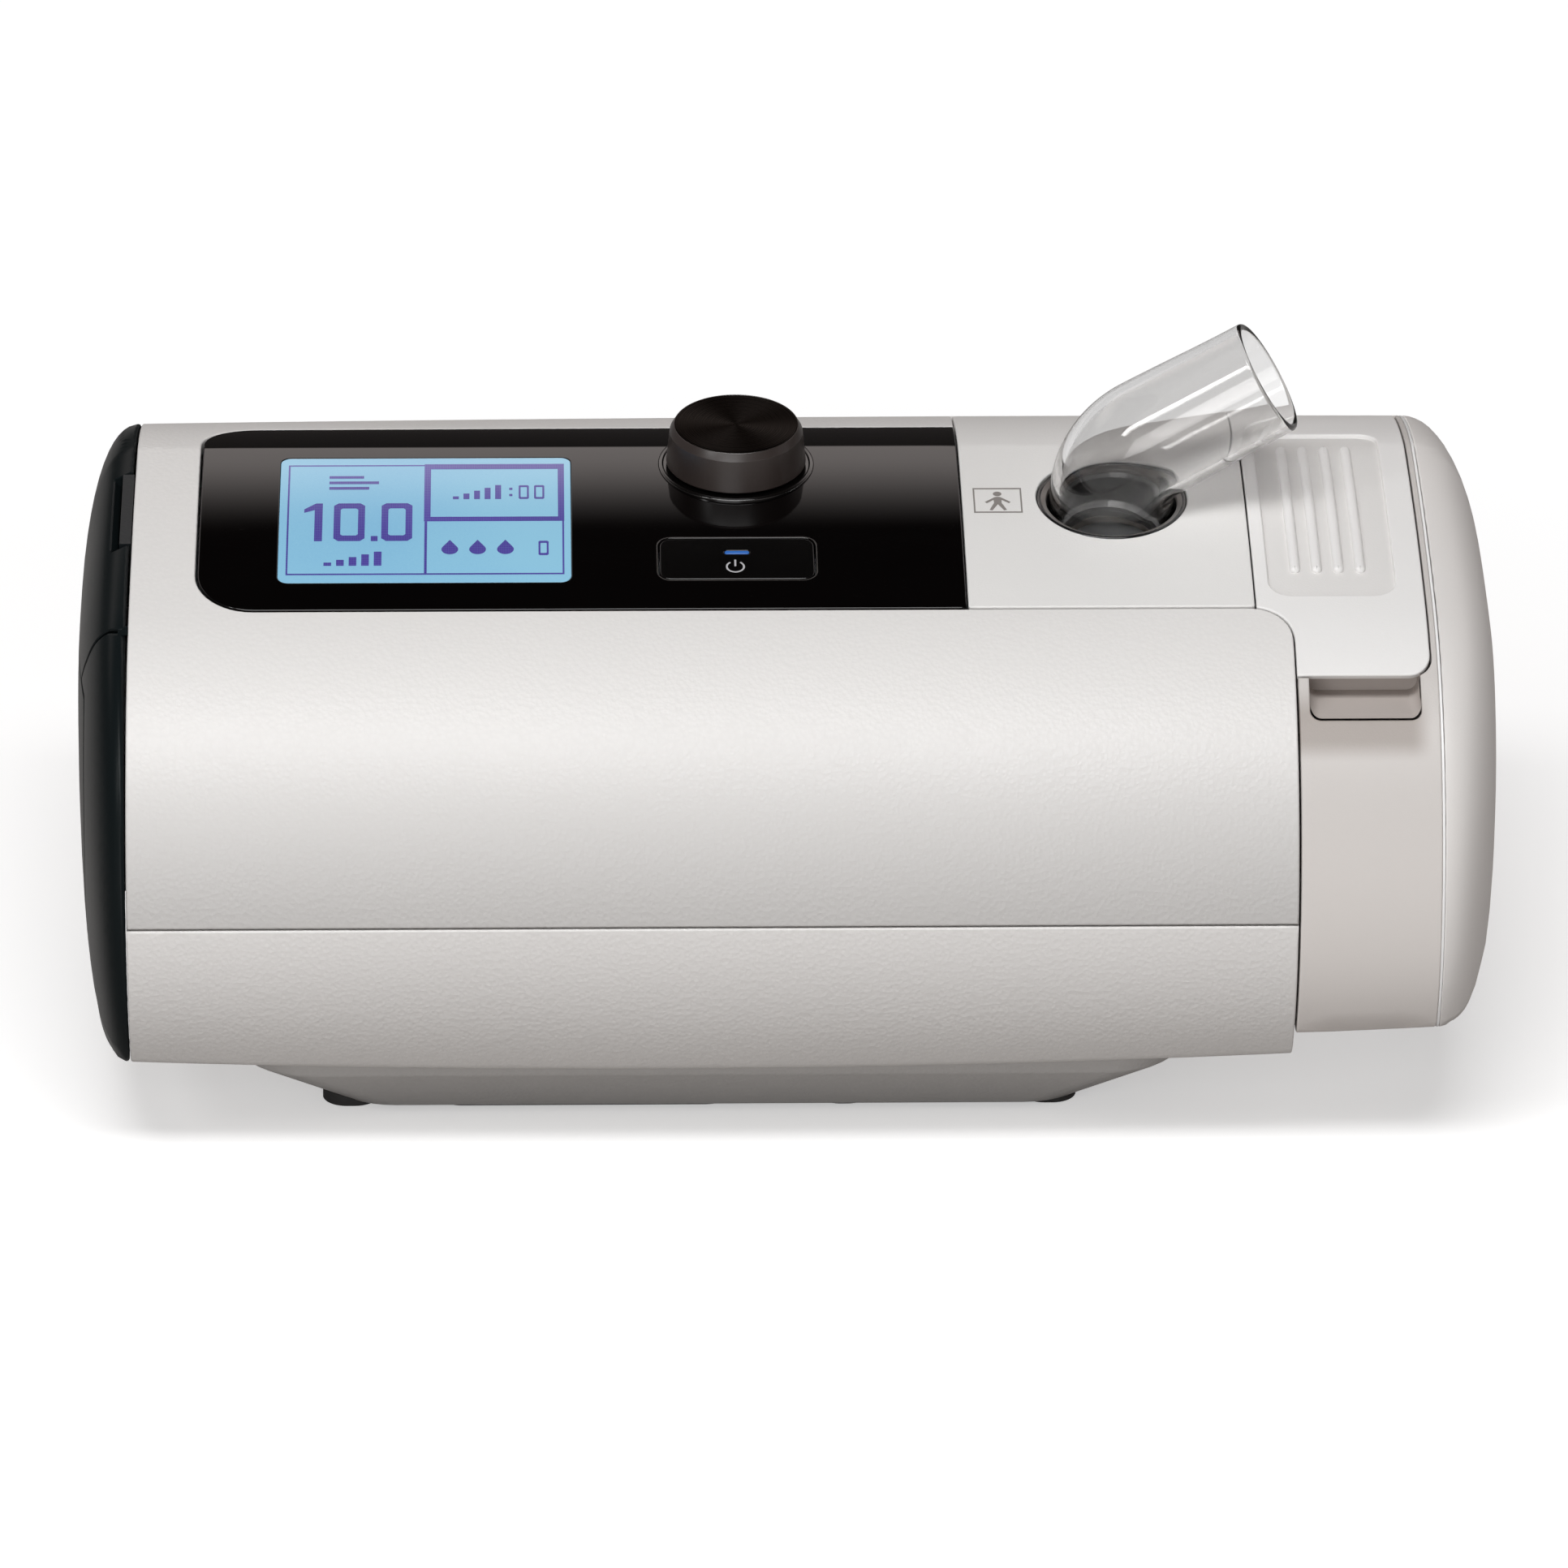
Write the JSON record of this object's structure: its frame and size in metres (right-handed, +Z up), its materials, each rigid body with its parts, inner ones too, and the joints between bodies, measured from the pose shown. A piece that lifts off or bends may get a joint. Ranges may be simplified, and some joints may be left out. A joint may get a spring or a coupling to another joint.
{
  "type": "cpap machine",
  "caption": "Bedside positive-pressure breathing machine: white blower housing with black panel, turning knob, swivelling clear outlet elbow and a water chamber that slides out.",
  "frame": {"origin": "on the floor plane, under the middle of the whole object's bounding box", "axes": "+X along the length towards the water chamber, +Y to the back, +Z up; the panel faces up and slopes towards -Y"},
  "size_m": [0.261, 0.145, 0.1376],
  "materials": {
    "housing_white": "fine leather grain",
    "deck_white": "fine sand grain",
    "cap_black": "satin",
    "panel_black": "polished",
    "button_black": "satin",
    "knob_black": "polished",
    "knob_spun": "spun, dark anodised",
    "screen_glass": "clear",
    "diffuser_white": "smooth",
    "board_green": "lacquered",
    "steel": "bright",
    "inner_grey": "smooth",
    "inner_ivory": "smooth",
    "lamp_blue": "lit",
    "elbow_clear": "clear",
    "socket_grey": "satin",
    "rubber_black": "matt",
    "seal_grey": "silicone",
    "seal_orange": "silicone",
    "chamber_frost": "frosted, smoke grey",
    "cover_frost": "fine sand grain",
    "bead_white": "smooth",
    "tub_clear": "clear",
    "heater_metal": "turned",
    "filter_fleece": "fleece",
    "foam_grey": "open foam",
    "motor_steel": "zinc plated",
    "jack_black": "moulded",
    "card_dark": "moulded"
  },
  "bodies": {
    "housing": {"main_cover": "housing_white", "base_shell": "housing_white", "plinth": "housing_white", "rubber_feet": "rubber_black", "display_lens": "panel_black", "panel_frame": "inner_grey", "lcd_glass": "screen_glass", "lcd_backlight": "diffuser_white", "display_board": "board_green", "knob_collar": "knob_black", "encoder_housing": "inner_grey", "encoder_board": "board_green", "button_switch": "inner_grey", "button_board": "board_green", "outlet_deck": "deck_white", "outlet_socket": "socket_grey", "elbow_seal": "rubber_black", "left_end_cap": "cap_black", "front_corner_cover": "cap_black", "air_filter": "filter_fleece", "card_socket": "steel", "chamber_bay": "inner_grey", "heater_gasket": "seal_orange", "heater_plate": "heater_metal", "inlet_seal": "seal_grey", "outlet_seal": "seal_grey", "blower_base": "inner_grey", "blower_cover": "inner_grey", "blower_mounts": "rubber_black", "blower_motor": "motor_steel", "air_duct": "inner_grey", "intake_box": "inner_grey", "intake_foam": "foam_grey", "main_board": "board_green", "board_parts": "jack_black", "pressure_sensor": "inner_ivory", "dc_inlet": "jack_black"},
    "encoder_rotor": {"encoder_rotor": "inner_ivory"},
    "knob": {"knob_body": "knob_black", "knob_face": "knob_spun", "encoder_shaft": "steel"},
    "button": {"power_button": "button_black", "status_light": "lamp_blue"},
    "elbow": {"outlet_elbow": "elbow_clear"},
    "chamber": {"water_tub": "tub_clear", "tub_base_plate": "heater_metal", "tub_gasket": "seal_grey", "tub_lid": "tub_clear", "chamber_band": "chamber_frost", "chamber_cover": "cover_frost", "chamber_end": "chamber_frost", "seam_bead": "bead_white"},
    "inlet_cover": {"inlet_cover": "cap_black"},
    "card": {"memory_card": "card_dark"},
    "impeller": {"impeller": "inner_ivory", "motor_spindle": "steel"}
  },
  "joints": [
    {"name": "knob_turn", "type": "hinge", "parent": "housing", "child": "encoder_rotor", "pos_m": [-0.00835, 0.014, 0.10432], "axis": [0, -0.0954, 0.9954], "continuous": true},
    {"name": "knob_press", "type": "slide", "parent": "encoder_rotor", "child": "knob", "axis": [0, 0.0954, -0.9954], "range_m": [0, 0.0006], "stiffness_N_per_m": 1500, "springref_m": -0.0004},
    {"name": "button_press", "type": "slide", "parent": "housing", "child": "button", "axis": [0, 0.2133, -0.977], "range_m": [0, 0.0008], "stiffness_N_per_m": 1000, "springref_m": -0.0003},
    {"name": "elbow_swivel", "type": "hinge", "parent": "housing", "child": "elbow", "pos_m": [0.06095, 0.0015, 0.10283], "axis": [0, -0.1412, 0.99], "continuous": true},
    {"name": "chamber_slide", "type": "slide", "parent": "housing", "child": "chamber", "axis": [1, 0, 0], "range_m": [0, 0.098]},
    {"name": "inlet_cover_pull", "type": "slide", "parent": "housing", "child": "inlet_cover", "axis": [-1, 0, 0], "range_m": [0, 0.025]},
    {"name": "card_slide", "type": "slide", "parent": "housing", "child": "card", "axis": [0, -0.1503, 0.9886], "range_m": [0, 0.026]},
    {"name": "impeller_spin", "type": "hinge", "parent": "housing", "child": "impeller", "pos_m": [-0.06975, 0, 0.058], "axis": [0, 0, 1], "continuous": true}
  ]
}
